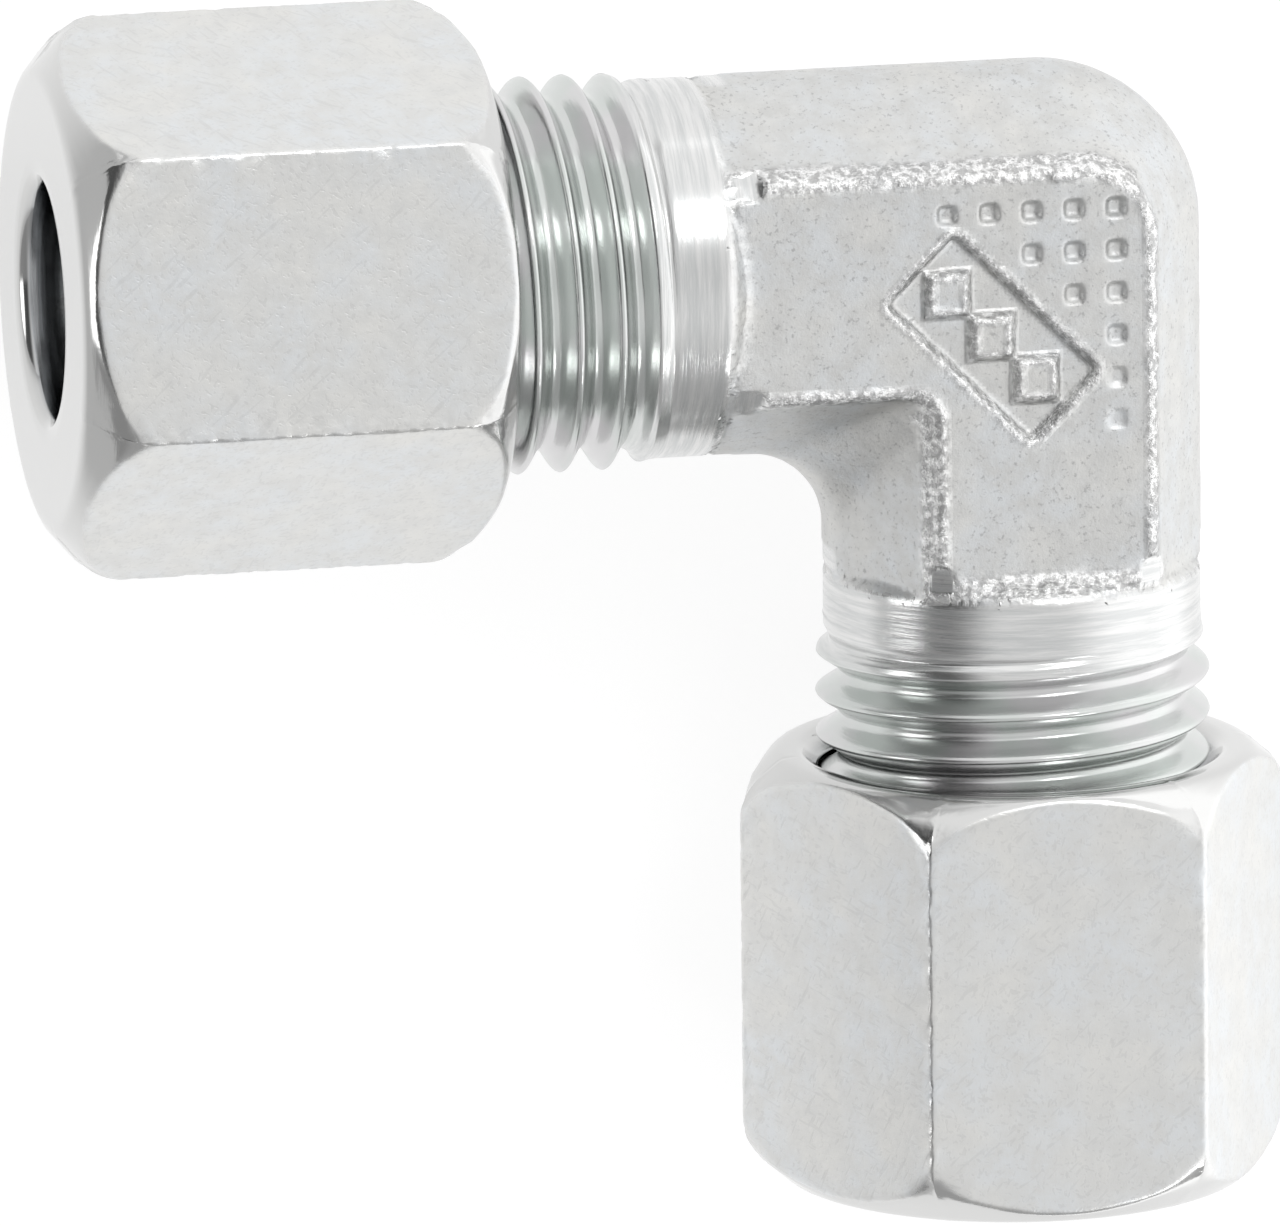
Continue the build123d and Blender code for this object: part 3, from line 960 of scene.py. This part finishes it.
def body_material():
    """Zinc over a grainy forged skin, and over turned shanks and threads, with painted glints and
    shade along trimmed edges and painted shade in the bores.
    """
    material, graph = new_material("zinc_body")
    at = place_in_mm(graph)
    forged, edge = graph.attribute("forged"), graph.attribute("edge")
    x, y, z = graph.node("ShaderNodeSeparateXYZ", {0: at})
    along, side = graph.math("MINIMUM", x, y), graph.math("MAXIMUM", x, y)
    turned = graph.math("SUBTRACT", 1.0, forged)
    lines = turned_lines(graph, along, side, z)
    grain = graph.noise(at, 6.5, 4.0, 0.7)
    crinkle = graph.noise(at, 3.6, 4.0, 0.65)
    crinkled = graph.math("MULTIPLY", crinkle, graph.mix(edge, 0.5, 14.0))
    skin = graph.math("ADD", graph.math("MULTIPLY", grain, 2.5), crinkled)
    height = graph.mix(forged, graph.math("MULTIPLY", lines, 1.6), skin)
    thread = graph.ramp(along, -13.6, -14.6)
    rough = graph.mix(forged, graph.mix(lines, 0.30, 0.12), graph.mix(edge, 0.42, 0.2))
    cast = tinted_zinc(graph, at, 0.685, 0.61)
    # Painted highlights and painted shade: along the crinkled trimmed edges the colour runs from
    # dark grey to near white.
    glint = graph.mix_colour(graph.ramp(crinkle, 0.42, 0.60), grey(0.42), grey(0.95))
    cast = graph.mix_colour(graph.math("MULTIPLY", edge, 0.75), cast, glint)
    streak = graph.ramp(lines, 0.35, 0.65)
    bright = graph.mix_colour(streak, (0.60, 0.61, 0.61, 1), (0.75, 0.75, 0.745, 1))
    tint = graph.ramp(graph.noise(at, 0.25, 2.0), 0.4, 0.6)
    glossy = graph.mix_colour(tint, (0.60, 0.625, 0.61, 1), (0.65, 0.645, 0.65, 1))
    colour = graph.mix_colour(forged, graph.mix_colour(thread, bright, glossy), cast)
    speck = graph.ramp(graph.noise(at, 5.5, 4.0, 0.7), 0.44, 0.33)
    speck = graph.math("MULTIPLY", graph.math("MULTIPLY", speck, forged), 0.5)
    colour = graph.mix_colour(speck, colour, grey(0.30))
    # Painted shade: the cone and bore inside each turned arm are darkened towards dark grey.
    bore = graph.ramp(distance_from_axis(graph, side, z), 5.3, 4.9)
    bore = graph.math("MULTIPLY", bore, graph.ramp(along, -4.0, -7.0))
    bore = graph.math("MULTIPLY", bore, turned)
    colour = graph.mix_colour(bore, colour, (0.2, 0.21, 0.22, 1))
    zinc(graph, colour, rough, height, ZINC_BUMP)
    return material


def nut_material(name, axis):
    """Zinc over the drawn flats and turned faces of a nut that lies along one axis, with painted
    shade inside the nut.
    """
    material, graph = new_material(name)
    at = place_in_mm(graph)
    drawn, edge, inner = graph.attribute("drawn"), graph.attribute("edge"), graph.attribute("inner")
    split = graph.node("ShaderNodeSeparateXYZ", {0: at})
    u, v = split[1 - axis], split[2]
    radius = distance_from_axis(graph, u, v)
    lines = turned_lines(graph, graph.math("ADD", radius, split[axis]), u, v)
    hairs = hair_lines(graph, at)
    mottle = graph.noise(at, 3.0, 5.0, 0.65)
    mottled = graph.math("MULTIPLY", mottle, 1.3)
    height = graph.math("SUBTRACT", mottled, graph.math("MULTIPLY", hairs, 0.25))
    height = graph.mix(drawn, graph.math("MULTIPLY", lines, 0.4), height)
    height = graph.math("ADD", height, graph.math("MULTIPLY", edge, graph.noise(at, 5.0, 3.0)))
    rough = graph.mix(drawn, 0.12, graph.mix(mottle, 0.24, 0.40))
    colour = tinted_zinc(graph, at, 0.735, 0.685)
    colour = graph.mix_colour(drawn, (0.635, 0.635, 0.63, 1), colour)
    scored = graph.math("MULTIPLY", graph.math("MULTIPLY", hairs, drawn), 0.16)
    colour = graph.mix_colour(scored, colour, grey(0.42))
    # Painted shade: the inside of the nut is darkened by the inner share.
    colour = graph.mix_colour(inner, colour, (0.34, 0.35, 0.36, 1))
    zinc(graph, colour, rough, height, ZINC_BUMP)
    return material


def ring_material():
    """Zinc over fine turning for the cutting rings."""
    material, graph = new_material("zinc_ring")
    at = place_in_mm(graph)
    x, y, z = graph.node("ShaderNodeSeparateXYZ", {0: at})
    along, side = graph.math("MINIMUM", x, y), graph.math("MAXIMUM", x, y)
    lines = turned_lines(graph, along, side, z)
    rough = graph.mix(graph.noise(at, 1.5, 3.0), 0.2, 0.34)
    height = graph.math("MULTIPLY", lines, 0.4)
    zinc(graph, tinted_zinc(graph, at, 0.68, 0.56), rough, height, RING_BUMP)
    return material


def floor_material():
    """Plain white floor that glows with painted light like a light table, brighter to the right and
    a little dimmer far out to the left.
    """
    material, graph = new_material("floor")
    own = graph.node("ShaderNodeTexCoord")["Object"]
    x = graph.node("ShaderNodeSeparateXYZ", {0: own})[0]
    colour = graph.mix_colour(graph.noise(own, 6.0, 3.0), grey(0.24), grey(0.27))
    # Painted light: the glow is brighter to the right and dimmer far out to the left.
    glow = graph.mix(graph.ramp(x, 0.012, 0.05), FLOOR_GLOW, RIGHT_GLOW)
    glow = graph.mix(graph.ramp(x, -0.033, -0.075), glow, LEFT_GLOW)
    inputs = {
        "Base Color": colour,
        "Roughness": 1.0,
        "Specular IOR Level": 0.0,
        "Emission Color": grey(1),
        "Emission Strength": glow,
    }
    shader = graph.node("ShaderNodeBsdfPrincipled", inputs)[0]
    graph.node("ShaderNodeOutputMaterial", {"Surface": shader})
    return material


# ---------------------------------------------------------------- stage

def make_floor():
    """Pale floor just under the lowest corner of the fitting."""
    bpy.ops.mesh.primitive_plane_add(size=FLOOR_SIZE, location=(0, 0, cad_box[0].z))
    floor = bpy.context.object
    floor.name = "floor"
    floor.data.materials.append(floor_material())


def make_world():
    """A tent of soft light: brightest right and above, dim left and below, one bright card left."""
    world = bpy.data.worlds.new("studio")
    bpy.context.scene.world = world
    world.use_nodes = True
    graph = Graph(world.node_tree)
    way = graph.node("ShaderNodeTexCoord")["Generated"]
    x, y = graph.node("ShaderNodeSeparateXYZ", {0: way})[:2]
    light = graph.mix(graph.ramp(y, 0.15, -0.25), 0.79, 0.89)
    light = graph.mix(graph.ramp(y, 0.15, 0.9), light, 1.12)
    light = graph.mix(graph.ramp(x, 0.3, 0.9), light, 1.45)
    light = graph.mix(graph.ramp(y, -0.35, -0.95), light, 0.45)
    gap = graph.mix(graph.ramp(y, -0.10, -0.20), 0.10, 0.34)
    light = graph.mix(graph.ramp(x, -0.35, -0.75), light, gap)
    card = graph.math("MULTIPLY", graph.ramp(x, -0.92, -0.96), graph.ramp(y, -0.20, -0.12))
    light = graph.mix(card, light, 2.6)
    background = graph.node("ShaderNodeBackground", {"Color": grey(1), "Strength": light})[0]
    graph.node("ShaderNodeOutputWorld", {"Surface": background})


def area_light(name, way, size):
    """Square soft light in one direction from the fitting, which it faces."""
    data = bpy.data.lights.new(name, "AREA")
    data.shape = "SQUARE"
    data.size = size
    data.energy = LIGHT_RADIANCE * math.pi * size * size
    light = bpy.data.objects.new(name, data)
    bpy.context.scene.collection.objects.link(light)
    light.location = LIGHT_DISTANCE * Vector(way).normalized()
    light.rotation_euler = (-light.location).to_track_quat("-Z", "Y").to_euler()


def make_camera():
    """Long lens that looks down on the front flat from a little left of and above it."""
    back = Vector((-math.sin(AZIMUTH) * math.cos(ELEVATION), math.sin(ELEVATION), 0))
    back.z = math.sqrt(1 - back.length_squared)
    right = Vector((0, 1, 0)).cross(back).normalized()
    level = Matrix((right, back.cross(right), back)).transposed().to_4x4()
    turn = level @ Matrix.Rotation(ROLL, 4, "Z")
    data = bpy.data.cameras.new("camera")
    data.sensor_width = SENSOR
    data.lens = DISTANCE * PIXELS_PER_MM * SENSOR / IMAGE_WIDTH
    data.clip_end = 10.0
    camera = bpy.data.objects.new("camera", data)
    bpy.context.scene.collection.objects.link(camera)
    place = turn @ Vector((-AIM_LEFT, -AIM_DOWN, DISTANCE))
    camera.matrix_world = Matrix.Translation(place * MM) @ turn
    bpy.context.scene.camera = camera


# ---------------------------------------------------------------- assembly

body = make_elbow()
body.data.materials.append(body_material())
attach(body, "elbow_body")
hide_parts("elbow_body")

for arm, axis, corner in (("inlet", 0, INLET_NUT_CORNER), ("outlet", 1, OUTLET_NUT_CORNER)):
    nut = make_nut(arm + "_union_nut", arm + "_nut", arm, axis, corner)
    nut.data.materials.append(nut_material("zinc_nut_" + arm, axis))
    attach(nut, arm + "_nut")
    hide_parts(arm + "_nut")
    ring = make_ring(arm + "_cutting_ring", arm + "_ring", arm, axis)
    ring.data.materials.append(ring_material())
    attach(ring, arm + "_ring")
    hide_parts(arm + "_ring")

make_floor()
make_world()
area_light("top", (0.25, 0.62, 0.74), 0.22)
area_light("low", (0.45, -0.70, 0.55), 0.16)
make_camera()
bpy.context.scene.view_settings.view_transform = "Standard"
